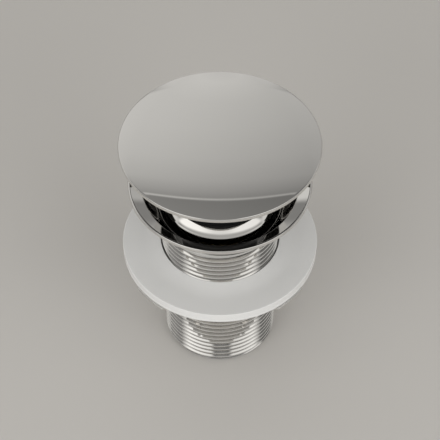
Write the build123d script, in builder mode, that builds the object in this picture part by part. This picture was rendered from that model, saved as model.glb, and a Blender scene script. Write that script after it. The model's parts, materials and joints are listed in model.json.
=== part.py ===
"""A sprung plug basin waste: flanged, threaded body, press-to-close mushroom plug, washers and backnut."""

import math
import os

from build123d import *

# Driving dimensions in millimetres. Heights are measured up from the tail's end.
body_height = 80.0  # tail's end to the flange's lip
thread_d = 41.91  # major diameter of the 1 1/4 inch pipe thread
thread_pitch = 2.309
thread_depth = 1.479
thread_half_angle = 27.5  # degrees between a flank and the plane across the tail
ridge_sink = 0.15  # thread's foot sunk into the tail
neck_height = 2.5  # plain neck between the bowl's underside and the thread
bore_d = 34.0
tail_chamfer = 0.8
flange_d = 63.5
lip_width = 1.5
lip_edge = 1.5  # height of the lip's outer edge
flare_width = 3.25  # sloping band inside the lip, above the bowl's steep wall
flare_slope = 35.0  # degrees
flare_round = 0.8
bowl_wall = 1.7
bowl_step = 0.35  # how far outside the thread the bowl's wall turns into its floor
bowl_corner_depth = 12.6
bowl_corner_radius = 5.0
seat_slope = 19.0  # degrees, the bowl's floor falling towards the bore
bowl_outer_radius = 2.0
lip_round = 0.65
bore_round = 0.8
neck_step = 0.5  # neck standing proud of the thread

bridge_arms = 3
bridge_height = 6.5
arm_width = 3.6
boss_d = 15.0
boss_drop = 1.0  # how far the boss reaches below the arms

cap_d = 68.0
cap_rise = 18.7  # cap's rim above the flange's lip, plug open
dome_height = 5.5
cap_wall = 1.2
rim_height = 1.3
plug_travel = 4.5

carrier_edge = 1.3  # gap between the moulding and the cap's rim
carrier_wall = 2.0
carrier_ribs = 6
rib_thickness = 1.6
rib_height = 4.0
rib_inset = 4.0  # ribs' ends from the moulding's edge
neck_od = 17.0
foot_thickness = 1.4

retainer_overhang = 0.75  # ring's edge beyond the seal's
retainer_rim = 2.75  # width of the ring's face with its brim
retainer_brim = 0.6
retainer_height = 3.1
retainer_plate = 1.3
retainer_bulge = 0.08
retainer_edge = 0.35

seal_offset = 0.15  # seal's edge outside the middle of the seat
seal_face = 1.7  # width of the seal's sloping face
seal_step = 1.4  # from that face in to the seal's boss
seal_boss_height = 2.0

rod_d = 6.0
rod_chamfer = 0.6
rod_grip = 17.0  # length of rod held in the carrier's neck
clamp_washer_d = 16.0
clamp_washer_thickness = 0.8
clamp_nut_flats = 10.0
clamp_nut_thickness = 4.0

barrel_d = 14.0
barrel_bore_d = 11.2
barrel_length = 33.4
barrel_floor = 3.0
spigot_d = 8.0
spigot_end = 1.2  # spigot showing under the locknut
locknut_flats = 13.0
locknut_thickness = 4.0

barrel_cap_d = 15.0
barrel_cap_flats = 13.0
barrel_cap_height = 2.0
barrel_cap_spigot = 4.5
ring_section_d = 1.5  # O-ring's own thickness

crown_length = 5.0
notch_count = 8
notch_depth = 1.1
index_teeth = 4
index_length = 6.5
rod_foot_height = 2.0

spring_wire = 0.9
spring_d = 9.4
spring_turns = 5.5

washer_d = 70.0
washer_drop = 30.8  # washer's upper edge below the flange's lip
washer_rim = 2.7
washer_cone_d = 55.0
washer_cone_rise = 1.2
washer_cone_radius = 16.0
washer_round = 0.35
slip_washer_thickness = 1.3
nut_thickness = 8.0
nut_collar_d = 55.0
nut_lug_tip_d = 70.2
nut_lug_tip_edge = 0.9
nut_lugs = 4
nut_lug_width = 13.0
nut_lug_height = 6.0
nut_lug_root = 1.5  # how far a lug runs into the collar

# Clearances
running = 0.05  # shaft in its guide, all round
screwed = 0.02  # between a thread and the hole it fills, all round
loose = 0.3  # between pieces that pass each other
seated = 0.1  # a loose piece in its seat
stroke_end = 0.9  # left between the plug's nut and the barrel's cap, plug closed

# Radii and levels that follow from these
thread_r = thread_d / 2
root_r = thread_r - thread_depth
crest_width = thread_pitch / 6
bore_r = bore_d / 2
lip_outer_r = flange_d / 2
lip_inner_r = lip_outer_r - lip_width
corner_r = thread_r + bowl_step
corner_z = body_height - bowl_corner_depth
seat_fall = math.tan(math.radians(seat_slope))
bore_top_z = corner_z - (corner_r - bore_r) * seat_fall
wall_lean = math.atan2(bowl_corner_depth, lip_inner_r - corner_r)
neck_r = thread_r + neck_step
underside_r = corner_r + bowl_wall * math.sin(wall_lean)
underside_z = corner_z - bowl_wall * math.cos(wall_lean)
thread_top = underside_z - neck_height
flare_r = lip_inner_r - flare_width
flare_z = body_height - flare_width * math.tan(math.radians(flare_slope))

rim_z = body_height + cap_rise
cap_r = cap_d / 2
cap_inner_r = cap_r - cap_wall
dome_top_z = rim_z + dome_height
dome_r = (cap_r**2 + dome_height**2) / (2 * dome_height)
dome_centre_z = dome_top_z - dome_r

seal_r = (bore_r + corner_r) / 2 + seal_offset
seal_flat_r = seal_r - seal_face
seal_boss_r = seal_flat_r - seal_step
retainer_r = seal_r + retainer_overhang
crown_r = retainer_r - retainer_rim
seat_z = corner_z - (corner_r - seal_r) * seat_fall
retainer_z = seat_z + plug_travel + loose + seated
plate_top_z = retainer_z + retainer_plate
seal_bottom_z = retainer_z - seal_boss_height
clamp_washer_z = seal_bottom_z - clamp_washer_thickness
clamp_nut_z = clamp_washer_z - clamp_nut_thickness
rod_r = rod_d / 2
guide_r = rod_r + running
screw_r = rod_r + screwed

barrel_top_z = clamp_nut_z - plug_travel - stroke_end - barrel_cap_height
barrel_z = barrel_top_z - barrel_length
bridge_z = barrel_z - bridge_height
boss_z = bridge_z - boss_drop
spigot_z = boss_z - locknut_thickness - spigot_end
barrel_floor_z = barrel_z + barrel_floor
barrel_bore_r = barrel_bore_d / 2
crown_top_z = barrel_top_z - barrel_cap_spigot - seated
crown_z = crown_top_z - crown_length
index_top_z = crown_z + notch_depth - loose
foot_top_z = index_top_z - index_length - seated
foot_z = foot_top_z - rod_foot_height
inner_ring_r = barrel_bore_r - seated

washer_top = body_height - washer_drop
washer_z = washer_top - washer_rim
slip_z = washer_z - slip_washer_thickness
nut_top_z = slip_z - seated
nut_z = nut_top_z - nut_thickness
tail_hole_r = thread_r + loose


def dome_z(radius, depth=0.0):
    """Height of the dome at a radius, on a surface lying this deep under the outside."""
    return dome_centre_z + math.sqrt((dome_r - depth) ** 2 - radius**2)


# The tail's thread: a right-hand ridge wound up the tail and cut down to a blank with chamfered ends
with BuildPart() as tail_thread:
    with BuildLine() as winding:
        Helix(thread_pitch, thread_top + thread_pitch, root_r, center=(0, 0, -thread_pitch / 2))
    with BuildSketch(Plane(winding.line @ 0, x_dir=(1, 0, 0), z_dir=(0, -1, 0))):
        with BuildLine():
            ridge_width = thread_depth + ridge_sink
            ridge_foot = crest_width + 2 * ridge_width * math.tan(math.radians(thread_half_angle))
            Polyline(
                (-ridge_sink, -ridge_foot / 2),
                (thread_depth, -crest_width / 2),
                (thread_depth, crest_width / 2),
                (-ridge_sink, ridge_foot / 2),
                close=True,
            )
        make_face()
    sweep(path=winding.line, is_frenet=True)
    with BuildSketch(Plane.XZ):
        with BuildLine():
            blank_r = thread_r + running
            blank_end_r = root_r - ridge_sink / 2
            blank_chamfer = blank_r - blank_end_r
            Polyline(
                (0, 0),
                (blank_end_r, 0),
                (blank_r, blank_chamfer),
                (blank_r, thread_top - blank_chamfer),
                (blank_end_r, thread_top),
                (0, thread_top),
                close=True,
            )
        make_face()
    revolve(axis=Axis.Z, mode=Mode.INTERSECT)

# The body: bowl, lip and tail turned as one, with the bridge cast across the waterway
with BuildPart() as waste_body:
    with BuildSketch(Plane.XZ):
        with BuildLine():
            Polyline(
                (bore_r, 0),
                (root_r, 0),
                (root_r, thread_top),
                (neck_r, thread_top),
                (neck_r, underside_z),
                (underside_r, underside_z),
                (lip_outer_r - lip_width / 2, body_height - lip_edge),
                (lip_outer_r, body_height - lip_edge),
                (lip_outer_r, body_height),
                (lip_inner_r, body_height),
                (flare_r, flare_z),
                (corner_r, corner_z),
                (bore_r, bore_top_z),
                close=True,
            )
        make_face()
        fillet(vertices().sort_by_distance((corner_r, corner_z))[0], bowl_corner_radius)
        fillet(vertices().sort_by_distance((flare_r, flare_z))[0], flare_round)
        fillet(vertices().sort_by_distance((underside_r, underside_z))[0], bowl_outer_radius)
        fillet(vertices().group_by(Axis.Y)[-1], lip_round)
        fillet(vertices().sort_by_distance((bore_r, bore_top_z))[0], bore_round)
    revolve(axis=Axis.Z)
    add(tail_thread.part)
    with BuildSketch(Plane.XY.offset(bridge_z)):
        with PolarLocations(0, bridge_arms, start_angle=-90):
            Rectangle((bore_r + root_r) / 2, arm_width, align=(Align.MIN, Align.CENTER))
    extrude(amount=bridge_height)
    with BuildSketch(Plane.XY.offset(boss_z)):
        Circle(boss_d / 2)
    extrude(amount=bridge_height + boss_drop)
    with Locations((0, 0, barrel_z)):
        Hole(spigot_d / 2 + screwed)
waste_body.part.label = "waste_body"

# The pressed cap: a low dome with its rim turned down
with BuildPart() as plug_cap:
    with BuildSketch(Plane.XZ):
        with BuildLine():
            outside = ThreePointArc(
                (0, dome_top_z), (cap_r / 2, dome_z(cap_r / 2)), (cap_r, rim_z)
            )
            rim = Polyline(
                outside @ 1,
                (cap_r, rim_z - rim_height),
                (cap_inner_r, rim_z - rim_height),
                (cap_inner_r, dome_z(cap_inner_r, cap_wall)),
            )
            inside = ThreePointArc(
                rim @ 1,
                (cap_inner_r / 2, dome_z(cap_inner_r / 2, cap_wall)),
                (0, dome_top_z - cap_wall),
            )
            Line(inside @ 1, outside @ 0)
        make_face()
        fillet(vertices().sort_by_distance((cap_r, rim_z))[0], cap_wall / 2)
        fillet(vertices().sort_by_distance((cap_r, rim_z - rim_height))[0], cap_wall / 3)
    revolve(axis=Axis.Z)
plug_cap.part.label = "plug_cap"

# The moulding inside the cap, ribbed underneath, with the neck and its foot in the retainer
carrier_r = cap_inner_r - carrier_edge
foot_r = crown_r - retainer_edge - seated
carrier_depth = cap_wall + screwed
carrier_under_z = dome_z(carrier_r, carrier_depth) - carrier_wall
with BuildPart() as cap_carrier:
    with BuildSketch(Plane.XZ):
        with BuildLine():
            top = ThreePointArc(
                (0, dome_z(0, carrier_depth)),
                (carrier_r / 2, dome_z(carrier_r / 2, carrier_depth)),
                (carrier_r, dome_z(carrier_r, carrier_depth)),
            )
            Polyline(
                top @ 1,
                (carrier_r, carrier_under_z),
                (neck_od / 2, carrier_under_z),
                (neck_od / 2, plate_top_z + foot_thickness),
                (foot_r, plate_top_z + foot_thickness),
                (foot_r, plate_top_z),
                (0, plate_top_z),
                top @ 0,
            )
        make_face()
        fillet(
            vertices().sort_by_distance((neck_od / 2, plate_top_z + foot_thickness))[0],
            foot_thickness,
        )
    revolve(axis=Axis.Z)
    with BuildSketch(Plane.XY.offset(carrier_under_z - rib_height)):
        with PolarLocations(0, carrier_ribs):
            Rectangle(carrier_r - rib_inset, rib_thickness, align=(Align.MIN, Align.CENTER))
    extrude(amount=rib_height)
    with BuildSketch(Plane.XY.offset(plate_top_z)):
        Circle(screw_r)
    extrude(amount=rod_grip + seated, mode=Mode.SUBTRACT)
cap_carrier.part.label = "cap_carrier"

# The bright ring round the neck's foot: a turned plate with a domed rim
with BuildPart() as seal_retainer:
    with BuildSketch(Plane.XZ):
        with BuildLine():
            crown_top = retainer_z + retainer_height
            shoulder_z = retainer_z + 2 * retainer_edge
            brim_r = retainer_r - retainer_brim
            brim_z = shoulder_z + retainer_brim * (crown_top - shoulder_z) / retainer_rim
            middle = Vector((crown_r + brim_r) / 2, (crown_top + brim_z) / 2)
            slope = Vector(crown_top - brim_z, brim_r - crown_r).normalized()
            face = ThreePointArc(
                (crown_r, crown_top), middle + slope * retainer_bulge, (brim_r, brim_z)
            )
            Polyline(
                face @ 1,
                (retainer_r, shoulder_z),
                (retainer_r, retainer_z + retainer_edge),
                (retainer_r - retainer_edge, retainer_z),
                (screw_r, retainer_z),
                (screw_r, plate_top_z),
                (crown_r - retainer_edge, plate_top_z),
                (crown_r - retainer_edge, crown_top),
                face @ 0,
            )
        make_face()
    revolve(axis=Axis.Z)
seal_retainer.part.label = "seal_retainer"

# The rubber seal: its face lies parallel to the bowl's floor
with BuildPart() as plug_seal:
    with BuildSketch(Plane.XZ):
        with BuildLine():
            Polyline(
                (screw_r, retainer_z),
                (seal_r, retainer_z),
                (seal_r, retainer_z - seated),
                (seal_flat_r, retainer_z - seated - (seal_r - seal_flat_r) * seat_fall),
                (seal_boss_r, retainer_z - seated - (seal_r - seal_flat_r) * seat_fall),
                (seal_boss_r, seal_bottom_z),
                (screw_r, seal_bottom_z),
                close=True,
            )
        make_face()
    revolve(axis=Axis.Z)
plug_seal.part.label = "plug_seal"

with BuildPart() as clamp_washer:
    with BuildSketch(Plane.XY.offset(clamp_washer_z)):
        Circle(clamp_washer_d / 2)
        Circle(screw_r, mode=Mode.SUBTRACT)
    extrude(amount=clamp_washer_thickness)
clamp_washer.part.label = "clamp_washer"

with BuildPart() as clamp_nut:
    with BuildSketch(Plane.XY.offset(clamp_nut_z)):
        RegularPolygon(clamp_nut_flats / 2, 6, major_radius=False)
        Circle(screw_r, mode=Mode.SUBTRACT)
    extrude(amount=clamp_nut_thickness)
clamp_nut.part.label = "clamp_nut"

# The plunger: a rod from the neck down to the foot that the spring lifts
with BuildPart() as plunger:
    with BuildSketch(Plane.XY.offset(foot_z)):
        Circle(rod_r)
    extrude(amount=plate_top_z + rod_grip - foot_z)
    with BuildSketch(Plane.XY.offset(foot_z)):
        Circle(barrel_bore_r - loose)
    extrude(amount=rod_foot_height)
    chamfer(plunger.edges().filter_by(GeomType.CIRCLE).sort_by(Axis.Z)[-1], rod_chamfer)
plunger.part.label = "plunger"

# The barrel, screwed into the bridge by its spigot
with BuildPart() as barrel:
    with BuildSketch(Plane.XZ):
        with BuildLine():
            Polyline(
                (0, spigot_z),
                (spigot_d / 2, spigot_z),
                (spigot_d / 2, barrel_z),
                (barrel_d / 2, barrel_z),
                (barrel_d / 2, barrel_top_z),
                (barrel_bore_r, barrel_top_z),
                (barrel_bore_r, barrel_floor_z),
                (0, barrel_floor_z),
                close=True,
            )
        make_face()
        chamfer(vertices().sort_by_distance((spigot_d / 2, spigot_z))[0], tail_chamfer)
    revolve(axis=Axis.Z)
barrel.part.label = "barrel"

with BuildPart() as barrel_locknut:
    with BuildSketch(Plane.XY.offset(boss_z - locknut_thickness)):
        RegularPolygon(locknut_flats / 2, 6, major_radius=False)
        Circle(spigot_d / 2 + screwed, mode=Mode.SUBTRACT)
    extrude(amount=locknut_thickness)
barrel_locknut.part.label = "barrel_locknut"

# The barrel's cap, with spanner flats and a groove for the O-ring
groove_r = guide_r + ring_section_d + running
groove_height = ring_section_d + 2 * seated
groove_z = barrel_top_z - barrel_cap_spigot / 2 - groove_height / 2
with BuildPart() as barrel_cap:
    with BuildSketch(Plane.XY.offset(barrel_top_z - barrel_cap_spigot)):
        Circle(barrel_bore_r - screwed)
    extrude(amount=barrel_cap_spigot)
    with BuildSketch(Plane.XY.offset(barrel_top_z)):
        Circle(barrel_cap_d / 2)
        Rectangle(barrel_cap_flats, barrel_cap_d, mode=Mode.INTERSECT)
    extrude(amount=barrel_cap_height)
    with Locations((0, 0, barrel_top_z + barrel_cap_height)):
        Hole(guide_r)
    with BuildSketch(Plane.XY.offset(groove_z)):
        Circle(groove_r)
    extrude(amount=groove_height, mode=Mode.SUBTRACT)
barrel_cap.part.label = "barrel_cap"

ring_section_r = ring_section_d / 2
with BuildPart() as plunger_seal:
    with BuildSketch(Plane.XZ):
        with Locations((guide_r + ring_section_r, groove_z + groove_height / 2)):
            Circle(ring_section_r)
    revolve(axis=Axis.Z)
plunger_seal.part.label = "plunger_seal"

# One radial ridge of triangular section, the shape of a notch and of the tooth that fits it
with BuildPart() as ridge:
    with BuildSketch(Plane.YZ):
        with BuildLine():
            Polyline((-notch_depth, 0), (notch_depth, 0), (0, notch_depth), close=True)
        make_face()
    extrude(amount=barrel_bore_r)

# The fixed crown of notches, and the toothed ring that turns a step under it at each press
with BuildPart() as guide_crown:
    with BuildSketch(Plane.XY.offset(crown_z)):
        Circle(inner_ring_r)
    extrude(amount=crown_length)
    with Locations((0, 0, crown_z)):
        with PolarLocations(0, notch_count):
            add(ridge.part, mode=Mode.SUBTRACT)
    with Locations((0, 0, crown_top_z)):
        Hole(guide_r + running)
guide_crown.part.label = "guide_crown"

with BuildPart() as index_ring:
    index_z = foot_top_z + seated
    with BuildSketch(Plane.XY.offset(index_z)):
        Circle(barrel_bore_r)
    extrude(amount=index_length - notch_depth)
    with Locations((0, 0, index_top_z - notch_depth)):
        with PolarLocations(0, index_teeth):
            add(ridge.part)
    with BuildSketch(Plane.XY.offset(index_z)):
        Circle(inner_ring_r)
    extrude(amount=index_length, mode=Mode.INTERSECT)
    with Locations((0, 0, index_top_z)):
        Hole(guide_r + running)
index_ring.part.label = "index_ring"

# The return spring between the barrel's floor and the plunger's foot
wire_r = spring_wire / 2
spring_rise = foot_z - barrel_floor_z - spring_wire - 2 * seated
with BuildPart() as return_spring:
    with BuildLine():
        coil = Helix(
            spring_rise / spring_turns,
            spring_rise,
            spring_d / 2 - wire_r,
            center=(0, 0, barrel_floor_z + wire_r + seated),
        )
    with BuildSketch(Plane(coil @ 0, z_dir=coil % 0)):
        Circle(wire_r)
    sweep(is_frenet=True)
return_spring.part.label = "return_spring"

# The washers that clamp the basin from below
washer_r = washer_d / 2
cone_r = washer_cone_d / 2
with BuildPart() as basin_washer:
    with BuildSketch(Plane.XZ):
        with BuildLine():
            Polyline(
                (tail_hole_r, washer_z),
                (washer_r, washer_z),
                (washer_r, washer_top),
                (cone_r, washer_top),
                (tail_hole_r, washer_top + washer_cone_rise),
                close=True,
            )
        make_face()
        fillet(vertices().sort_by_distance((cone_r, washer_top))[0], washer_cone_radius)
        fillet(vertices().sort_by_distance((washer_r, washer_top))[0], washer_round)
    revolve(axis=Axis.Z)
basin_washer.part.label = "basin_washer"

with BuildPart() as slip_washer:
    with BuildSketch(Plane.XY.offset(slip_z)):
        Circle(washer_r)
        Circle(tail_hole_r, mode=Mode.SUBTRACT)
    extrude(amount=slip_washer_thickness)
    fillet(slip_washer.edges().sort_by(SortBy.LENGTH)[-2:], washer_round)
slip_washer.part.label = "slip_washer"

# The backnut: a collar with lugs that thin out to their tips under the washer
nut_bore_r = thread_r + running
collar_r = nut_collar_d / 2
tip_r = nut_lug_tip_d / 2
lug_root_r = collar_r - nut_lug_root
with BuildPart() as backnut:
    with BuildSketch(Plane.XZ):
        with BuildLine():
            Polyline(
                (lug_root_r, nut_top_z),
                (tip_r, nut_top_z),
                (tip_r, nut_top_z - nut_lug_tip_edge),
                (collar_r, nut_top_z - nut_lug_height),
                (lug_root_r, nut_top_z - nut_lug_height),
                close=True,
            )
        make_face()
    revolve(axis=Axis.Z)
    with BuildSketch(Plane.XY.offset(nut_z)):
        with PolarLocations(0, nut_lugs, start_angle=45):
            Rectangle(nut_lug_tip_d, nut_lug_width, align=(Align.MIN, Align.CENTER))
        Circle(collar_r)
    extrude(amount=nut_thickness, mode=Mode.INTERSECT)
    with BuildSketch(Plane.XY.offset(nut_z)):
        Circle(collar_r)
    extrude(amount=nut_thickness)
    with Locations((0, 0, nut_top_z)):
        Hole(nut_bore_r)
    rims = backnut.edges().filter_by(GeomType.CIRCLE).group_by(Axis.Z)[0]
    chamfer(rims, tail_chamfer)
backnut.part.label = "backnut"

pieces = [
    waste_body,
    plug_cap,
    cap_carrier,
    seal_retainer,
    plug_seal,
    clamp_washer,
    clamp_nut,
    plunger,
    barrel,
    barrel_locknut,
    barrel_cap,
    plunger_seal,
    guide_crown,
    index_ring,
    return_spring,
    basin_washer,
    slip_washer,
    backnut,
]
os.makedirs("parts", exist_ok=True)
for piece in pieces:
    export_step(piece.part, f"parts/{piece.part.label}.step")
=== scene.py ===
"""The look of a sprung plug basin waste: smooth turned pieces, pipe thread, materials, light and camera."""

import json
import math

import bmesh
import bpy
from mathutils import Matrix, Vector

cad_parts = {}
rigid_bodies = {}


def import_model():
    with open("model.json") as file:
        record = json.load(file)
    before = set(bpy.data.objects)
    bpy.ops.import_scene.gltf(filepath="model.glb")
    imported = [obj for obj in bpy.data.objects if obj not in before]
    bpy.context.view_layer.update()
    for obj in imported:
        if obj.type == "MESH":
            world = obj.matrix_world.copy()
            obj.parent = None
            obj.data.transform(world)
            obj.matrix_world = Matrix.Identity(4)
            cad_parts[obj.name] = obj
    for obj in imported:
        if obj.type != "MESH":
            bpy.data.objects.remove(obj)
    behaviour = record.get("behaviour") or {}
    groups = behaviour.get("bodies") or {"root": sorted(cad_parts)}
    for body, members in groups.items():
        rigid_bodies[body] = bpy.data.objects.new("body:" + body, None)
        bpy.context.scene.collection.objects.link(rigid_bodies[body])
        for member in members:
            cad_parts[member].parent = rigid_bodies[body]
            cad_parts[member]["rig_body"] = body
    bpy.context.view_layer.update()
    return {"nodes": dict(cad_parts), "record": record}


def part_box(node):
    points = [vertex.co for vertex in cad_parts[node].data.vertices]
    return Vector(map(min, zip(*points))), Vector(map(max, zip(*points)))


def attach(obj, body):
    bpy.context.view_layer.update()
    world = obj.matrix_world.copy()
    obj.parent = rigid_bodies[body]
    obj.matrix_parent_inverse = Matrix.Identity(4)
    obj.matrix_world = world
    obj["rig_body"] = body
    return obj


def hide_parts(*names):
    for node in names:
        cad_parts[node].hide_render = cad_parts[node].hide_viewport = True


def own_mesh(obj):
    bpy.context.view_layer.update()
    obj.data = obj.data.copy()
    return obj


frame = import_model()
nodes = frame["nodes"]
scene = bpy.context.scene

# Sizes in millimetres. Levels and outer radii come from the frame, the rest from the object.
MM = 0.001
SEGMENTS = 192
FINE_SEGMENTS = 256  # on the pieces seen best
BARREL_SEGMENTS = 128
SMALL_SEGMENTS = 96
CORNER_STEPS = 6
FIN_EDGE_STEPS = 3
SHARP_ANGLE = math.radians(40)
WELD = 1e-7  # metres between points that are taken as one
FLAT_WEIGHT = 90  # how strongly large faces set the shading
FIT_GAP = 0.02  # between pieces that touch

PITCH = 2.309  # 1 1/4 inch pipe thread
THREAD_R = 20.955
THREAD_DEPTH = 1.479
THREAD_ROUND = 0.317  # rounding of crest and root
THREAD_HALF_ANGLE = 27.5  # degrees
THREAD_END = 0.075  # how far under the root the thread's end chamfers start
THREAD_LEVEL = 63.9  # its upper end
CREST_STEPS = 6
ROOT_STEPS = 4

BORE_R = 17.0
LIP_WIDTH = 1.5
LIP_EDGE = 1.5
LIP_ROUND = 0.65
LIP_TOP = 0.8  # where the bowl's sloping band starts inside the edge
LIP_INNER_ROUND = 0.3
FLARE_WIDTH = 4.0
FLARE_SLOPE = 31.0  # degrees
FLARE_ROUND = 0.8
BOWL_WALL = 1.7
BOWL_CORNER_R = 21.305
BOWL_CORNER_DEPTH = 12.6
BOWL_CORNER_RADIUS = 5.0
SEAT_SLOPE = 19.0  # degrees
NECK_R = 21.455
NECK_HEIGHT = 2.5
BRIDGE_ARMS = 3
BRIDGE_HEIGHT = 6.5
ARM_WIDTH = 3.6
BOSS_R = 7.5
BOSS_DROP = 1.0
ARM_SINK = 1.0  # how far the arms run into boss and tail

CAP_WALL = 1.2
CAP_RIM = 1.3
CARRIER_WALL = 2.0
CARRIER_RIBS = 6
RIB_THICKNESS = 1.6
RIB_HEIGHT = 4.0
RIB_INSET = 4.0  # ribs' ends from the moulding's edge
RIB_TAPER = 1.0
RIB_SINK = 0.5  # how far a rib runs into the disc
RIB_ROOT = 1.0  # and into the neck
CARRIER_NECK_R = 8.5
CARRIER_FOOT = 1.4
FOOT_GAP = 0.1  # between the foot and the ring round it
ROD_GRIP = 17.0  # length of rod held in the neck

RETAINER_CROWN_R = 17.1
RETAINER_SHOULDER = 0.75
RETAINER_PLATE = 1.3
RETAINER_EDGE = 0.35
RETAINER_BULGE = 0.05
RETAINER_BRIM = 0.4
RETAINER_TOP = 0.7  # flat top inside the crown
RETAINER_STEPS = 12

SEAL_FLAT_R = 17.6
SEAL_BOSS_R = 16.2
SEAL_EDGE = 0.1

ROD_R = 3.0
FOOT_R = 5.3
FOOT_HEIGHT = 2.0
CLAMP_NUT_FLATS = 10.0
SPIGOT_R = 4.0
LOCKNUT_FLATS = 13.0
BARREL_BORE_R = 5.6
BARREL_LENGTH = 33.4
BARREL_FLOOR = 3.0
CAP_HEAD = 2.0
CAP_SPIGOT = 4.5  # how far the barrel's cap reaches into it
SPRING_WIRE_R = 0.45
SPRING_TURNS = 5.5
SPRING_STEPS = 48  # points in one turn
WIRE_SIDES = 12

TAIL_HOLE_R = 21.255
CONE_R = 28.5  # where the washer's face starts to rise towards the tail
CONE_STEPS = 16
WASHER_RIM = 2.7
EDGE_ROUND = 0.35
NUT_BORE_R = 21.005
COLLAR_R = 27.5
LUG_TIP_R = 35.5
LUG_TIP_EDGE = 0.9
LUG_ROOT = 1.5
LUG_HEIGHT = 6.0
LUG_WIDTH = 13.0
LUG_EDGE = 0.25
LUG_STEPS = 8
NUT_LUGS = 4
FIRST_LUG = 45  # degrees

slot_of = {part["node"]: part["material_slot"] for part in frame["record"]["subparts"]}


def span(node):
    """Lowest level, highest level and largest reach along X of a CAD node, in millimetres."""
    low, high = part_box(node)
    return low.z / MM, high.z / MM, high.x / MM


def arc(centre, radius, start, end, steps):
    """Points on an arc between two angles in radians."""
    angles = [start + (end - start) * step / steps for step in range(steps + 1)]
    return [(centre[0] + radius * math.cos(a), centre[1] + radius * math.sin(a)) for a in angles]


def round_corner(before, corner, after, radius):
    """The arc that replaces one corner of an outline."""
    corner = Vector(corner)
    towards = (Vector(before) - corner).normalized()
    onward = (Vector(after) - corner).normalized()
    half = towards.angle(onward) / 2
    centre = corner + (towards + onward).normalized() * radius / math.sin(half)
    first = corner + towards * radius / math.tan(half) - centre
    turn = first.angle_signed(corner + onward * radius / math.tan(half) - centre)
    start = math.atan2(first.y, first.x)
    return arc(centre, radius, start, start - turn, CORNER_STEPS)


def rounded(corners, closed=True):
    """An outline of (radius, level, rounding) corners as a list of points."""
    points = []
    count = len(corners)
    for index, (r, z, rounding) in enumerate(corners):
        inner = closed or 0 < index < count - 1
        if rounding and inner:
            before = corners[index - 1][:2]
            after = corners[(index + 1) % count][:2]
            points += round_corner(before, (r, z), after, rounding)
        else:
            points.append((r, z))
    return points


def on_circle(radius, index, segments=SEGMENTS):
    """X and Y of one of the points round a circle."""
    angle = 2 * math.pi * index / segments
    return radius * math.cos(angle), radius * math.sin(angle)


def turned(outline, segments=SEGMENTS, closed=True, limit=None):
    """Revolves an outline in millimetres; limit gives the largest radius allowed at an angle."""
    shape = bmesh.new()
    rings = []
    for index in range(segments):
        most = limit(2 * math.pi * index / segments) if limit else math.inf
        ring = []
        for r, z in outline:
            x, y = on_circle(min(r, most), index, segments)
            ring.append(shape.verts.new((x * MM, y * MM, z * MM)))
        rings.append(ring)
    steps = len(outline) if closed else len(outline) - 1
    for index, ring in enumerate(rings):
        following = rings[(index + 1) % segments]
        for step in range(steps):
            after = (step + 1) % len(outline)
            shape.faces.new((ring[step], following[step], following[after], ring[after]))
    return shape


def fin(section, half_width, angle, edge, steps=1, follow_circle=False):
    """A plate standing in a radial plane: its section spread across a width, with softened edges."""
    shape = bmesh.new()
    slices = []
    for step in range(steps + 1):
        across = half_width * (2 * step / steps - 1)
        ring = []
        for r, z in section:
            along = math.sqrt(r**2 - across**2) if follow_circle else r
            ring.append(shape.verts.new((along * MM, across * MM, z * MM)))
        slices.append(ring)
    for ring, following in zip(slices, slices[1:]):
        for index in range(len(section)):
            after = (index + 1) % len(section)
            shape.faces.new((ring[index], following[index], following[after], ring[after]))
    shape.faces.new(slices[0])
    shape.faces.new(slices[-1])
    bmesh.ops.recalc_face_normals(shape, faces=shape.faces)
    corners = [e for e in shape.edges if e.calc_face_angle(0) > SHARP_ANGLE]
    bmesh.ops.bevel(
        shape, geom=corners, offset=edge * MM, segments=FIN_EDGE_STEPS, affect="EDGES", profile=0.5
    )
    bmesh.ops.rotate(shape, verts=shape.verts, matrix=Matrix.Rotation(angle, 3, "Z"))
    return shape


def joined(shapes):
    """Puts shapes together in one, and frees them."""
    whole = bmesh.new()
    for shape in shapes:
        part = bpy.data.meshes.new("part")
        shape.to_mesh(part)
        shape.free()
        whole.from_mesh(part)
        bpy.data.meshes.remove(part)
    return whole


def finished(name, node, material, *shapes):
    """Joins shapes into one smooth piece that stands for a CAD node and rides on its body."""
    for shape in shapes:
        bmesh.ops.remove_doubles(shape, verts=shape.verts, dist=WELD)
        bmesh.ops.dissolve_degenerate(shape, edges=shape.edges, dist=WELD)
        bmesh.ops.recalc_face_normals(shape, faces=shape.faces)
    whole = joined(shapes)
    for face in whole.faces:
        face.smooth = True
    mesh = bpy.data.meshes.new(name)
    whole.to_mesh(mesh)
    whole.free()
    mesh.set_sharp_from_angle(angle=SHARP_ANGLE)
    mesh.materials.append(material)
    piece = bpy.data.objects.new(name, mesh)
    scene.collection.objects.link(piece)
    flats = piece.modifiers.new("flats_stay_flat", "WEIGHTED_NORMAL")
    flats.weight = FLAT_WEIGHT
    flats.keep_sharp = True
    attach(piece, nodes[node]["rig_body"])
    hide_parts(node)
    return piece


def hexagon(across_flats):
    """Largest radius of a hexagon at an angle, with corners on the X axis."""
    sixth = math.pi / 3
    return lambda angle: across_flats / 2 / math.cos((angle % sixth) - sixth / 2)


# Materials
PATTERN_LOW = 0.3  # most of a noise pattern lies between these
PATTERN_HIGH = 0.7


def math_node(tree, operation, *values):
    """One math node over sockets or numbers."""
    node = tree.nodes.new("ShaderNodeMath")
    node.operation = operation
    for socket, value in zip(node.inputs, values):
        if isinstance(value, (int, float)):
            socket.default_value = value
        else:
            tree.links.new(value, socket)
    return node.outputs[0]


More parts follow.
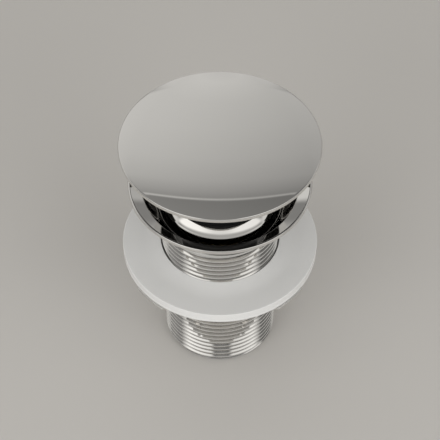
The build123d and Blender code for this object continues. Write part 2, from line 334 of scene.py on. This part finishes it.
class Finish:
    """A material's node tree with the few nodes that the finishes here share."""

    def __init__(self, name, colour, roughness, metallic=0.0):
        self.material = bpy.data.materials.new(name)
        self.material.use_nodes = True
        self.tree = self.material.node_tree
        self.shader = self.tree.nodes["Principled BSDF"]
        self.shader.inputs["Base Color"].default_value = (*colour, 1)
        self.shader.inputs["Roughness"].default_value = roughness
        self.shader.inputs["Metallic"].default_value = metallic
        self.place = self.tree.nodes.new("ShaderNodeTexCoord").outputs["Object"]

    def noise(self, scale, detail=4.0, stretch=(1, 1, 1)):
        """Noise in the object's own space; scale is in features per metre."""
        mapping = self.tree.nodes.new("ShaderNodeMapping")
        mapping.inputs["Scale"].default_value = stretch
        self.tree.links.new(self.place, mapping.inputs["Vector"])
        noise = self.tree.nodes.new("ShaderNodeTexNoise")
        noise.inputs["Scale"].default_value = scale
        noise.inputs["Detail"].default_value = detail
        self.tree.links.new(mapping.outputs["Vector"], noise.inputs["Vector"])
        return noise.outputs["Fac"]

    def vary(self, socket, source, low, high):
        """Drives a shader value between two limits by a pattern."""
        spread = self.tree.nodes.new("ShaderNodeMapRange")
        spread.inputs["From Min"].default_value = PATTERN_LOW
        spread.inputs["From Max"].default_value = PATTERN_HIGH
        spread.inputs["To Min"].default_value = low
        spread.inputs["To Max"].default_value = high
        self.tree.links.new(source, spread.inputs["Value"])
        self.tree.links.new(spread.outputs["Result"], self.shader.inputs[socket])

    def tint(self, source, first, second):
        """Colours the surface between two shades by a pattern."""
        mix = self.tree.nodes.new("ShaderNodeMix")
        mix.data_type = "RGBA"
        mix.inputs["A"].default_value = (*first, 1)
        mix.inputs["B"].default_value = (*second, 1)
        self.tree.links.new(source, mix.inputs["Factor"])
        self.tree.links.new(mix.outputs["Result"], self.shader.inputs["Base Color"])

    def relief(self, source, height):
        """Fine bump of a height in millimetres."""
        bump = self.tree.nodes.new("ShaderNodeBump")
        bump.inputs["Strength"].default_value = 1.0
        bump.inputs["Distance"].default_value = height * MM
        self.tree.links.new(source, bump.inputs["Height"])
        self.tree.links.new(bump.outputs["Normal"], self.shader.inputs["Normal"])


CHROME = (0.80, 0.79, 0.77)
# Painted shade: this dark colour in the thread's roots stands in for the shade between the turns.
ROOT_PAINTED_SHADE = (0.12, 0.118, 0.115)
ROOT_SHADE_STOPS = [(18.9, CHROME), (19.3, ROOT_PAINTED_SHADE), (19.7, ROOT_PAINTED_SHADE), (20.5, CHROME)]  # by radius on the tail


def polished(name):
    """Polished plate: nearly a mirror, with a trace of waviness and uneven polish."""
    chrome = Finish(name, CHROME, 0.03, metallic=1.0)
    chrome.vary("Roughness", chrome.noise(120), 0.02, 0.04)
    chrome.relief(chrome.noise(60, detail=1.0), 0.004)
    return chrome


def make_chrome():
    """The plate on cap, ring and nut."""
    return polished("chrome_plate").material


def make_body_chrome_root_shade():
    """The same plate, with painted shade: a dark colour in the roots of the tail's thread."""
    chrome = polished("chrome_casting_root_shade")
    flat = chrome.tree.nodes.new("ShaderNodeVectorMath")
    flat.operation = "MULTIPLY"
    flat.inputs[1].default_value = (1, 1, 0)
    chrome.tree.links.new(chrome.place, flat.inputs[0])
    reach = chrome.tree.nodes.new("ShaderNodeVectorMath")
    reach.operation = "LENGTH"
    chrome.tree.links.new(flat.outputs["Vector"], reach.inputs[0])
    ramp = chrome.tree.nodes.new("ShaderNodeValToRGB")
    share = math_node(chrome.tree, "DIVIDE", reach.outputs["Value"], THREAD_R * MM)
    chrome.tree.links.new(share, ramp.inputs["Fac"])
    stops = ramp.color_ramp.elements
    while len(stops) < len(ROOT_SHADE_STOPS):
        stops.new(1.0)
    for stop, (r, colour) in zip(stops, ROOT_SHADE_STOPS):
        stop.position = r / THREAD_R
        stop.color = (*colour, 1)
    split = chrome.tree.nodes.new("ShaderNodeSeparateXYZ")
    chrome.tree.links.new(chrome.place, split.inputs[0])
    above = math_node(chrome.tree, "GREATER_THAN", split.outputs["Z"], THREAD_LEVEL * MM)
    mix = chrome.tree.nodes.new("ShaderNodeMix")
    mix.data_type = "RGBA"
    chrome.tree.links.new(above, mix.inputs["Factor"])
    chrome.tree.links.new(ramp.outputs["Color"], mix.inputs["A"])
    mix.inputs["B"].default_value = (*CHROME, 1)
    chrome.tree.links.new(mix.outputs["Result"], chrome.shader.inputs["Base Color"])
    return chrome.material


def make_white_plastic():
    """Glossy moulded plastic, faintly mottled."""
    white = Finish("gloss_white", (0.80, 0.80, 0.79), 0.15)
    white.tint(white.noise(90), (0.795, 0.795, 0.785), (0.815, 0.815, 0.805))
    white.vary("Roughness", white.noise(300), 0.12, 0.18)
    white.relief(white.noise(150, detail=2.0), 0.004)
    white.shader.inputs["IOR"].default_value = 1.5
    return white.material


def make_black_plastic():
    """Black moulding with a fine satin grain."""
    black = Finish("satin_black", (0.018, 0.018, 0.018), 0.45)
    black.tint(black.noise(200), (0.016, 0.016, 0.016), (0.022, 0.022, 0.022))
    black.vary("Roughness", black.noise(700), 0.4, 0.55)
    black.relief(black.noise(2500), 0.015)
    return black.material


def make_rubber():
    """Matte rubber with a dusting of lighter bloom."""
    rubber = Finish("matte_rubber", (0.03, 0.03, 0.03), 0.7)
    rubber.tint(rubber.noise(250), (0.024, 0.024, 0.024), (0.036, 0.036, 0.035))
    rubber.vary("Roughness", rubber.noise(500), 0.6, 0.8)
    rubber.relief(rubber.noise(3000), 0.02)
    return rubber.material


def make_brass():
    """Bare turned brass: fine lathe marks round the axis and slight tarnish."""
    brass = Finish("turned_brass", (0.68, 0.50, 0.24), 0.28, metallic=1.0)
    brass.tint(brass.noise(150), (0.60, 0.43, 0.20), (0.72, 0.54, 0.27))
    brass.vary("Roughness", brass.noise(60, stretch=(1, 1, 60)), 0.2, 0.38)
    brass.relief(brass.noise(60, stretch=(1, 1, 80)), 0.01)
    return brass.material


def make_steel():
    """Bright drawn stainless steel."""
    steel = Finish("drawn_steel", (0.62, 0.62, 0.61), 0.22, metallic=1.0)
    steel.vary("Roughness", steel.noise(400), 0.18, 0.3)
    steel.relief(steel.noise(900, stretch=(1, 1, 6)), 0.006)
    return steel.material


def make_acetal():
    """Satin off-white moulding."""
    acetal = Finish("off_white", (0.78, 0.77, 0.73), 0.4)
    acetal.tint(acetal.noise(150), (0.75, 0.74, 0.70), (0.80, 0.79, 0.75))
    acetal.vary("Roughness", acetal.noise(500), 0.35, 0.48)
    return acetal.material


materials = {
    "chrome": make_chrome(),
    "body_chrome": make_body_chrome_root_shade(),
    "white_plastic": make_white_plastic(),
    "black_plastic": make_black_plastic(),
    "black_rubber": make_rubber(),
    "brass": make_brass(),
    "steel": make_steel(),
    "acetal": make_acetal(),
}
for name, node in nodes.items():
    node.data.materials.clear()
    node.data.materials.append(materials[slot_of[name]])


# The body
def thread_rows():
    """Phase in turns and radius of each row in one pitch of the thread, from root to root."""
    spread = math.radians(90 - THREAD_HALF_ANGLE)
    rows = []
    for step in range(ROOT_STEPS // 2 + 1):
        angle = 2 * spread * step / ROOT_STEPS
        z = THREAD_ROUND * math.sin(angle)
        rows.append((z / PITCH, THREAD_R - THREAD_DEPTH + THREAD_ROUND * (1 - math.cos(angle))))
    for step in range(CREST_STEPS + 1):
        angle = spread * (2 * step / CREST_STEPS - 1)
        z = PITCH / 2 + THREAD_ROUND * math.sin(angle)
        rows.append((z / PITCH, THREAD_R - THREAD_ROUND * (1 - math.cos(angle))))
    for step in range(ROOT_STEPS // 2, 0, -1):
        angle = 2 * spread * step / ROOT_STEPS
        z = PITCH - THREAD_ROUND * math.sin(angle)
        rows.append((z / PITCH, THREAD_R - THREAD_DEPTH + THREAD_ROUND * (1 - math.cos(angle))))
    return rows


def thread(end_r, length):
    """The tail's right-hand thread up from level 0; each end is chamfered down to one radius."""
    shape = bmesh.new()
    turns = math.ceil(length / PITCH) + 1
    rows = [(turn + phase, r) for turn in range(-1, turns) for phase, r in thread_rows()]
    columns = []
    for index in range(SEGMENTS + 1):
        column = []
        for phase, r in rows:
            level = min(max((phase + index / SEGMENTS) * PITCH, 0), length)
            x, y = on_circle(min(r, end_r + level, end_r + length - level), index)
            column.append(shape.verts.new((x * MM, y * MM, level * MM)))
        columns.append(column)
    for column, following in zip(columns, columns[1:]):
        for low in range(len(rows) - 1):
            corners = (column[low], following[low], following[low + 1], column[low + 1])
            shape.faces.new(corners)
    return shape


def make_body():
    """Bowl, lip, neck and threaded tail as one skin, with the bridge across the waterway."""
    low, lip_z, lip_r = span("waste_body")
    inner_r = lip_r - LIP_WIDTH
    corner_z = lip_z - BOWL_CORNER_DEPTH
    seat_fall = math.tan(math.radians(SEAT_SLOPE))
    bore_top_z = corner_z - (BOWL_CORNER_R - BORE_R) * seat_fall
    lean = math.atan2(BOWL_CORNER_DEPTH, inner_r - BOWL_CORNER_R)
    underside_r = BOWL_CORNER_R + BOWL_WALL * math.sin(lean)
    underside_z = corner_z - BOWL_WALL * math.cos(lean)
    thread_top = underside_z - NECK_HEIGHT
    end_r = THREAD_R - THREAD_DEPTH - THREAD_END
    top_r = lip_r - LIP_TOP
    flare_r = top_r - FLARE_WIDTH
    flare_fall = FLARE_WIDTH * math.tan(math.radians(FLARE_SLOPE))
    skin = rounded(
        [
            (end_r, low, 0),
            (BORE_R, low, 0.4),
            (BORE_R, bore_top_z, 0.8),
            (BOWL_CORNER_R, corner_z, BOWL_CORNER_RADIUS),
            (flare_r, lip_z - flare_fall, FLARE_ROUND),
            (top_r, lip_z, LIP_INNER_ROUND),
            (lip_r, lip_z, LIP_ROUND),
            (lip_r, lip_z - LIP_EDGE, LIP_ROUND),
            (lip_r - LIP_WIDTH / 2, lip_z - LIP_EDGE, 0.2),
            (underside_r, underside_z, 2.0),
            (NECK_R, underside_z, 0.4),
            (NECK_R, thread_top, 0.3),
            (end_r, thread_top, 0),
        ],
        closed=False,
    )
    barrel_z = bridge_level()
    arm_z = barrel_z - BRIDGE_HEIGHT
    arm_in = BOSS_R - ARM_SINK
    arm_out = BORE_R + ARM_SINK
    bridge = [
        fin(
            [(arm_in, arm_z), (arm_out, arm_z), (arm_out, barrel_z), (arm_in, barrel_z)],
            ARM_WIDTH / 2,
            math.radians(-90 + 360 * arm / BRIDGE_ARMS),
            0.8,
        )
        for arm in range(BRIDGE_ARMS)
    ]
    boss = rounded(
        [
            (SPIGOT_R, arm_z - BOSS_DROP, 0.3),
            (BOSS_R, arm_z - BOSS_DROP, 0.5),
            (BOSS_R, barrel_z, 0.3),
            (SPIGOT_R, barrel_z, 0.1),
        ]
    )
    casting = joined([turned(skin, closed=False), thread(end_r, thread_top)])
    middle = turned(boss, SMALL_SEGMENTS)
    return finished("body_casting", "waste_body", materials["body_chrome"], casting, middle, *bridge)


def bridge_level():
    """Level of the bridge's top, which the barrel's shoulder sits on."""
    return span("barrel_cap")[0] + CAP_SPIGOT - BARREL_LENGTH


# The plug
def dome_level(top, radius, rim_z, at, depth=0.0):
    """Level of the cap's dome at a radius, on a surface this deep under the outside."""
    height = top - rim_z
    ball = (radius**2 + height**2) / (2 * height)
    return top - ball + math.sqrt((ball - depth) ** 2 - at**2)


def dome_points(at_most, depth, steps=48):
    """Points of the cap's dome from the axis out to a radius."""
    low, top, radius = span("plug_cap")
    rim_z = low + CAP_RIM
    radii = [at_most * step / steps for step in range(steps + 1)]
    return [(r, dome_level(top, radius, rim_z, r, depth)) for r in radii]


def make_cap():
    """The pressed dome with its rim turned down."""
    low, _, radius = span("plug_cap")
    inner_r = radius - CAP_WALL
    outside = [(r, z, 0) for r, z in dome_points(radius, 0.0)]
    inside = [(r, z, 0) for r, z in reversed(dome_points(inner_r, CAP_WALL))]
    outside[-1] = (*outside[-1][:2], 0.55)
    outline = outside + [(radius, low, 0.4), (inner_r, low, 0.3)] + inside
    return finished("cap_shell", "plug_cap", materials["chrome"], turned(rounded(outline), FINE_SEGMENTS))


def make_carrier():
    """The black moulding under the cap: disc, ribs, neck and foot."""
    low, _, radius = span("cap_carrier")
    disc = [(r, z, 0) for r, z in dome_points(radius, CAP_WALL + FIT_GAP)]
    under_z = disc[-1][1] - CARRIER_WALL
    foot_r = RETAINER_CROWN_R - RETAINER_TOP - FOOT_GAP
    disc[-1] = (*disc[-1][:2], 0.4)
    outline = disc + [
        (radius, under_z, 0.5),
        (CARRIER_NECK_R, under_z, 1.0),
        (CARRIER_NECK_R, low + CARRIER_FOOT, CARRIER_FOOT),
        (foot_r, low + CARRIER_FOOT, 0.4),
        (foot_r, low, 0.1),
        (ROD_R, low, 0.1),
        (ROD_R, low + ROD_GRIP, 0.1),
        (0, low + ROD_GRIP, 0),
    ]
    rib_end = radius - RIB_INSET
    rib_root = CARRIER_NECK_R - RIB_ROOT
    section = [
        (rib_root, under_z + RIB_SINK),
        (rib_end, under_z + RIB_SINK),
        (rib_end - RIB_TAPER, under_z - RIB_HEIGHT),
        (rib_root, under_z - RIB_HEIGHT),
    ]
    ribs = [
        fin(section, RIB_THICKNESS / 2, 2 * math.pi * rib / CARRIER_RIBS, 0.3)
        for rib in range(CARRIER_RIBS)
    ]
    return finished(
        "carrier_moulding", "cap_carrier", materials["black_plastic"], turned(rounded(outline)), *ribs
    )


def make_retainer():
    """The bright ring: a dish with a domed rim round the neck's foot."""
    low, high, radius = span("seal_retainer")
    plate = low + RETAINER_PLATE
    shoulder = low + RETAINER_SHOULDER
    start = Vector((RETAINER_CROWN_R, high))
    edge = Vector((radius, shoulder))
    chord = (edge - start) * (1 - RETAINER_BRIM / (radius - RETAINER_CROWN_R))
    outward = Vector((-chord.y, chord.x)).normalized()
    face = []
    for step in range(RETAINER_STEPS + 1):
        share = step / RETAINER_STEPS
        point = start + chord * share + outward * RETAINER_BULGE * 4 * share * (1 - share)
        face.append((point.x, point.y, 0))
    outline = face + [
        (radius, shoulder, 0.12),
        (radius, low + RETAINER_EDGE, 0.15),
        (radius - RETAINER_EDGE, low, 0.1),
        (ROD_R, low, 0.1),
        (ROD_R, plate, 0.1),
        (RETAINER_CROWN_R - RETAINER_TOP, plate, 0.1),
        (RETAINER_CROWN_R - RETAINER_TOP, high, 0.15),
    ]
    outline[0] = (*outline[0][:2], 0.1)
    shape = turned(rounded(outline), FINE_SEGMENTS)
    return finished("retainer_ring", "seal_retainer", materials["chrome"], shape)


def make_seal():
    """The rubber seal under the ring."""
    low, high, radius = span("plug_seal")
    fall = (radius - SEAL_FLAT_R) * math.tan(math.radians(SEAT_SLOPE))
    face_z = high - SEAL_EDGE - fall
    outline = [
        (ROD_R, high, 0),
        (radius, high, 0),
        (radius, high - SEAL_EDGE, 0.05),
        (SEAL_FLAT_R, face_z, 0.4),
        (SEAL_BOSS_R, face_z, 0.4),
        (SEAL_BOSS_R, low, 0.4),
        (ROD_R, low, 0.1),
    ]
    return finished("seal_rubber", "plug_seal", materials["black_rubber"], turned(rounded(outline)))


def make_plunger():
    """The rod with its foot."""
    low, high, _ = span("plunger")
    outline = [
        (0, low, 0),
        (FOOT_R, low, 0.3),
        (FOOT_R, low + FOOT_HEIGHT, 0.3),
        (ROD_R, low + FOOT_HEIGHT, 0.3),
        (ROD_R, high, 0.6),
        (0, high, 0),
    ]
    return finished("plunger_rod", "plunger", materials["brass"], turned(rounded(outline), SMALL_SEGMENTS))


def make_ring(name, node, material, bore, edge, limit=None):
    """A plain turned ring or hexagon nut that fills its CAD node's box."""
    low, high, radius = span(node)
    outline = [(bore, low, edge), (radius, low, edge), (radius, high, edge), (bore, high, edge)]
    shape = turned(rounded(outline), limit=limit)
    return finished(name, node, materials[material], shape)


# The mechanism
def make_barrel():
    """The barrel with its spigot through the bridge."""
    low, high, radius = span("barrel")
    shoulder = bridge_level()
    outline = [
        (0, low, 0),
        (SPIGOT_R, low, 0.7),
        (SPIGOT_R, shoulder, 0.1),
        (radius, shoulder, 0.5),
        (radius, high, 0.3),
        (BARREL_BORE_R, high, 0.1),
        (BARREL_BORE_R, shoulder + BARREL_FLOOR, 0.3),
        (0, shoulder + BARREL_FLOOR, 0),
    ]
    return finished("barrel_tube", "barrel", materials["brass"], turned(rounded(outline), BARREL_SEGMENTS))


def make_barrel_cap():
    """The barrel's cap with two spanner flats."""
    low, high, flat_r = span("barrel_cap")
    head_z = high - CAP_HEAD
    head_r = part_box("barrel_cap")[1].y / MM
    spigot_r = BARREL_BORE_R - FIT_GAP
    outline = [
        (ROD_R, low, 0.2),
        (spigot_r, low, 0.3),
        (spigot_r, head_z, 0),
        (head_r, head_z, 0.2),
        (head_r, high, 0.4),
        (ROD_R, high, 0.2),
    ]

    def flats(angle):
        """Largest radius at an angle; along the flats nothing is cut."""
        return flat_r / max(abs(math.cos(angle)), 0.1)

    shape = turned(rounded(outline), limit=flats)
    return finished("barrel_cap_turned", "barrel_cap", materials["brass"], shape)


def make_spring():
    """The coil under the plunger's foot, built at one length, though the real one shortens as the plug goes
    down.
    """
    low, high, radius = span("return_spring")
    coil_r = radius - SPRING_WIRE_R
    rise = high - low - 2 * SPRING_WIRE_R
    count = int(SPRING_TURNS * SPRING_STEPS)
    shape = bmesh.new()
    rings = []
    for step in range(count + 1):
        angle = 2 * math.pi * step / SPRING_STEPS
        middle = Vector((coil_r * math.cos(angle), coil_r * math.sin(angle)))
        level = low + SPRING_WIRE_R + rise * step / count
        ring = []
        for side in range(WIRE_SIDES):
            turn = 2 * math.pi * side / WIRE_SIDES
            out = middle * (1 + SPRING_WIRE_R * math.cos(turn) / coil_r)
            height = level + SPRING_WIRE_R * math.sin(turn)
            ring.append(shape.verts.new((out.x * MM, out.y * MM, height * MM)))
        rings.append(ring)
    for ring, following in zip(rings, rings[1:]):
        for side in range(WIRE_SIDES):
            after = (side + 1) % WIRE_SIDES
            shape.faces.new((ring[side], following[side], following[after], ring[after]))
    shape.faces.new(rings[0])
    shape.faces.new(rings[-1])
    spring = finished("spring_coil", "return_spring", materials["steel"], shape)
    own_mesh(spring)
    return spring


# What clamps the basin
def make_basin_washer():
    """The white washer: a flat flange whose face curves up to the tail as a low cone."""
    low, high, radius = span("basin_washer")
    rim_z = low + WASHER_RIM
    cone = []
    for step in range(CONE_STEPS):
        share = step / CONE_STEPS
        cone.append((CONE_R + (TAIL_HOLE_R - CONE_R) * share, rim_z + (high - rim_z) * share**2, 0))
    outline = [
        (TAIL_HOLE_R, low, 0.2),
        (radius, low, 0.25),
        (radius, rim_z, EDGE_ROUND),
        *cone,
        (TAIL_HOLE_R, high, 0.25),
    ]
    shape = turned(rounded(outline), FINE_SEGMENTS)
    return finished("basin_washer_moulding", "basin_washer", materials["white_plastic"], shape)


def make_backnut():
    """The nut: a collar with lugs that thin out to their tips."""
    low, high, _ = span("backnut")
    collar = rounded(
        [
            (NUT_BORE_R, low, 0.6),
            (COLLAR_R, low, 0.8),
            (COLLAR_R, high, 0.4),
            (NUT_BORE_R, high, 0.4),
        ]
    )
    section = [
        (COLLAR_R - LUG_ROOT, high),
        (LUG_TIP_R, high),
        (LUG_TIP_R, high - LUG_TIP_EDGE),
        (COLLAR_R, high - LUG_HEIGHT),
        (COLLAR_R - LUG_ROOT, high - LUG_HEIGHT),
    ]
    angles = [math.radians(FIRST_LUG + 360 * lug / NUT_LUGS) for lug in range(NUT_LUGS)]
    lugs = [fin(section, LUG_WIDTH / 2, angle, LUG_EDGE, LUG_STEPS, follow_circle=True) for angle in angles]
    return finished("backnut_casting", "backnut", materials["chrome"], turned(collar), *lugs)


make_body()
make_cap()
make_carrier()
make_retainer()
make_seal()
make_plunger()
make_ring("clamp_washer_ring", "clamp_washer", "steel", ROD_R, 0.15)
make_ring("clamp_nut_hex", "clamp_nut", "brass", ROD_R, 0.5, hexagon(CLAMP_NUT_FLATS))
make_barrel()
make_ring("locknut_hex", "barrel_locknut", "brass", SPIGOT_R, 0.6, hexagon(LOCKNUT_FLATS))
make_barrel_cap()
make_spring()
make_basin_washer()
make_ring("slip_washer_ring", "slip_washer", "white_plastic", TAIL_HOLE_R, EDGE_ROUND)
make_backnut()


# Floor, light and camera
FLOOR_SIZE = 8.0
FLOOR_COLOUR = (0.66, 0.64, 0.61)
FLOOR_ROUGHNESS = 0.9


def make_floor():
    """A plain pale floor under the tail."""
    bpy.ops.mesh.primitive_plane_add(size=FLOOR_SIZE)
    floor = bpy.context.object
    floor.name = "floor"
    floor.data.materials.append(Finish("floor", FLOOR_COLOUR, FLOOR_ROUGHNESS).material)


class Sky:
    """The studio round the object, as brightness by direction."""

    def __init__(self, colour):
        world = bpy.data.worlds.new("studio")
        scene.world = world
        world.use_nodes = True
        self.tree = world.node_tree
        self.shader = self.tree.nodes["Background"]
        self.shader.inputs["Color"].default_value = (*colour, 1)
        place = self.tree.nodes.new("ShaderNodeTexCoord")
        split = self.tree.nodes.new("ShaderNodeSeparateXYZ")
        self.tree.links.new(place.outputs["Generated"], split.inputs[0])
        self.x, self.y, self.z = split.outputs

    def math(self, operation, *values):
        """One math node over sockets or numbers."""
        return math_node(self.tree, operation, *values)

    def mix(self, share, low, high):
        """One value turning into another as the share goes from 0 to 1."""
        node = self.tree.nodes.new("ShaderNodeMix")
        for socket, value in zip(node.inputs, (share, None, low, high)):
            if isinstance(value, (int, float)):
                socket.default_value = value
            elif value is not None:
                self.tree.links.new(value, socket)
        return node.outputs[0]

    def rise(self, angle, low, high):
        """0 below one angle in degrees, 1 above another."""
        ramp = self.tree.nodes.new("ShaderNodeMapRange")
        ramp.interpolation_type = "SMOOTHSTEP"
        self.tree.links.new(angle, ramp.inputs["Value"])
        ramp.inputs["From Min"].default_value = math.radians(low)
        ramp.inputs["From Max"].default_value = math.radians(high)
        return ramp.outputs["Result"]

    def band(self, angle, low, low_full, high_full, high):
        """1 between two angles in degrees, fading to 0 outside them."""
        fall = self.math("SUBTRACT", 1.0, self.rise(angle, high_full, high))
        return self.math("MULTIPLY", self.rise(angle, low, low_full), fall)

    def strips(self, angle, stops):
        """Brightness up to 1 by angle, through (degrees, brightness) stops from 0 to 180 degrees."""
        ramp = self.tree.nodes.new("ShaderNodeValToRGB")
        elements = ramp.color_ramp.elements
        while len(elements) < len(stops):
            elements.new(1.0)
        for element, (degrees, bright) in zip(elements, stops):
            element.position = degrees / 180
            element.color = (bright, bright, bright, 1)
        share = self.math("DIVIDE", angle, math.pi)
        self.tree.links.new(share, ramp.inputs["Fac"])
        return ramp.outputs["Color"]


# Angles of the studio are in degrees unless they say radians.
# Pairs and fours of them are where soft edges start and end.
SKY_COLOUR = (1.0, 0.985, 0.955)
OVERHEAD = (90, 102)  # where what is behind the object turns into what is over the camera
# Brightness from the far horizon (0) over the top (90), where the part over the camera takes over
STRIPS = [
    (0, 0.58),
    (16, 0.64),
    (30, 0.58),
    (45, 0.55),
    (60, 0.50),
    (70, 0.43),
    (75, 0.34),
    (77.9, 0.27),
    (78.1, 0.58),
    (78.5, 0.58),
    (78.7, 0.21),
    (86, 0.23),
    (110, 0.20),
    (180, 0.20),
]
STRIP_BOW = 0.607  # the strips sink towards the sides by this times the angle across squared
STRIP_BOW_REACH = 0.6  # radians; beyond this they sink no further
STRIP_FALL = 0.35  # darker towards the right
HORIZON = 0.24  # low and far
HORIZON_TOP = (12, 16)
HORIZON_END = (158, 170)  # straight behind the object it is not dark
PANEL = 0.82  # the soft panel over the camera
PANEL_SIDES = 0.24  # more at its ends
PANEL_ENDS = (5, 35)
PANEL_FALL = 0.12  # darker towards the right
PANEL_GAP = 0.16  # the dark gap in its middle
PANEL_GAP_EDGE = (7, 13)
PANEL_GAP_END = (112, 117)
PANEL_EDGE = (41.5, 45.7)
PANEL_WIDE = 1.73
PANEL_DEEP = 0.885
PANEL_SQUARE = 1.6  # its outline lies between a diamond (1) and an ellipse (2)
SIDE = 0.7  # low soft lights left and right, seen in the ring
SIDE_AZIMUTHS = (76, 88, 118, 128)
SIDE_LEVELS = (12, 17, 30, 38)
FRONT = 0.42  # under the panel
FRONT_TOP = (28, 38)  # the light and the shades lie below this
FRONT_LIGHT = 0.2
FRONT_LIGHT_AZIMUTHS = (-46, -38, -24, -16)
FRONT_LEFT_SHADE = 0.22
FRONT_LEFT_EDGE = (-76, -58)
FRONT_RIGHT_SHADE = 0.12
FRONT_RIGHT_EDGE = (62, 80)


def make_studio():
    """Soft light by direction: strips behind, a panel over the camera, a grey front and a light each side."""
    sky = Sky(SKY_COLOUR)
    up = sky.math("MAXIMUM", sky.z, 0.0)
    over = sky.math("ARCTAN2", up, sky.y)
    across = sky.math("ABSOLUTE", sky.math("ARCTAN2", sky.x, up))
    azimuth = sky.math("ARCTAN2", sky.x, sky.math("MULTIPLY", sky.y, -1.0))
    elevation = sky.math("ARCSINE", sky.z)

    bow = sky.math("POWER", sky.math("MINIMUM", across, STRIP_BOW_REACH), 2.0)
    strips = sky.strips(sky.math("MULTIPLY_ADD", bow, STRIP_BOW, over), STRIPS)
    far = sky.math("MULTIPLY", strips, sky.math("MULTIPLY_ADD", sky.x, -STRIP_FALL, 1.0))
    behind = sky.rise(sky.math("ABSOLUTE", azimuth), *HORIZON_END)
    far = sky.mix(sky.math("MAXIMUM", sky.rise(elevation, *HORIZON_TOP), behind), HORIZON, far)

    wide = sky.math("POWER", sky.math("ABSOLUTE", sky.math("DIVIDE", sky.x, PANEL_WIDE)), PANEL_SQUARE)
    deep = sky.math("POWER", sky.math("ABSOLUTE", sky.math("DIVIDE", sky.y, PANEL_DEEP)), PANEL_SQUARE)
    reach = sky.math("ARCTAN2", sky.math("POWER", sky.math("ADD", wide, deep), 1 / PANEL_SQUARE), up)
    panel = sky.math("MULTIPLY_ADD", sky.rise(across, *PANEL_ENDS), PANEL_SIDES, PANEL)
    panel = sky.math("MULTIPLY", panel, sky.math("MULTIPLY_ADD", sky.x, -PANEL_FALL, 1.0))
    middle = sky.math("SUBTRACT", 1.0, sky.rise(across, *PANEL_GAP_EDGE))
    gap = sky.math("MULTIPLY", middle, sky.math("SUBTRACT", 1.0, sky.rise(over, *PANEL_GAP_END)))
    panel = sky.mix(gap, panel, PANEL_GAP)
    below = sky.math("SUBTRACT", 1.0, sky.rise(elevation, *FRONT_TOP))
    light = sky.math("MULTIPLY", sky.band(azimuth, *FRONT_LIGHT_AZIMUTHS), FRONT_LIGHT)
    left = sky.math("SUBTRACT", 1.0, sky.rise(azimuth, *FRONT_LEFT_EDGE))
    left = sky.math("MULTIPLY", left, -FRONT_LEFT_SHADE)
    right = sky.math("MULTIPLY", sky.rise(azimuth, *FRONT_RIGHT_EDGE), -FRONT_RIGHT_SHADE)
    parts = sky.math("ADD", light, sky.math("ADD", left, right))
    front = sky.math("MULTIPLY_ADD", parts, below, FRONT)
    near = sky.mix(sky.rise(reach, *PANEL_EDGE), panel, front)

    glow = sky.mix(sky.rise(over, *OVERHEAD), far, near)
    beside = sky.band(sky.math("ABSOLUTE", azimuth), *SIDE_AZIMUTHS)
    glow = sky.mix(sky.math("MULTIPLY", beside, sky.band(elevation, *SIDE_LEVELS)), glow, SIDE)
    sky.tree.links.new(glow, sky.shader.inputs["Strength"])


LAMP_DISTANCE = 1.0
LAMP_SIZE = 0.7
LAMP_POWER = 6.0
LAMP_AZIMUTHS = (-40, 40)
LAMP_ELEVATION = 22


def make_lamps():
    """Two soft lamps in front that light washers and floor, kept out of the reflections."""
    for azimuth in LAMP_AZIMUTHS:
        data = bpy.data.lights.new(f"fill_{'left' if azimuth < 0 else 'right'}", "AREA")
        data.energy = LAMP_POWER / len(LAMP_AZIMUTHS)
        data.size = LAMP_SIZE
        lamp = bpy.data.objects.new(data.name, data)
        scene.collection.objects.link(lamp)
        turn = math.radians(azimuth)
        lift = math.radians(LAMP_ELEVATION)
        away = Vector((math.sin(turn) * math.cos(lift), -math.cos(turn) * math.cos(lift), math.sin(lift)))
        lamp.location = away * LAMP_DISTANCE
        lamp.rotation_euler = away.to_track_quat("Z", "Y").to_euler()
        lamp.visible_glossy = False


IMAGE_WIDTH = 440
FOCAL_PIXELS = 1300
SENSOR = 36.0
CAMERA_ELEVATION = math.radians(49.98)
CAMERA_DISTANCE = 462.1
AIM_LEVEL = 58.6


def make_camera():
    """The photo's viewpoint: in front, looking down on the cap."""
    data = bpy.data.cameras.new("camera")
    data.sensor_width = SENSOR
    data.lens = FOCAL_PIXELS / IMAGE_WIDTH * SENSOR
    data.clip_start = 0.01
    camera = bpy.data.objects.new("camera", data)
    scene.collection.objects.link(camera)
    back = CAMERA_DISTANCE * math.cos(CAMERA_ELEVATION)
    up = AIM_LEVEL + CAMERA_DISTANCE * math.sin(CAMERA_ELEVATION)
    camera.location = (0, -back * MM, up * MM)
    camera.rotation_euler = (math.pi / 2 - CAMERA_ELEVATION, 0, 0)
    scene.camera = camera


make_floor()
make_studio()
make_lamps()
make_camera()
scene.view_settings.view_transform = "Standard"
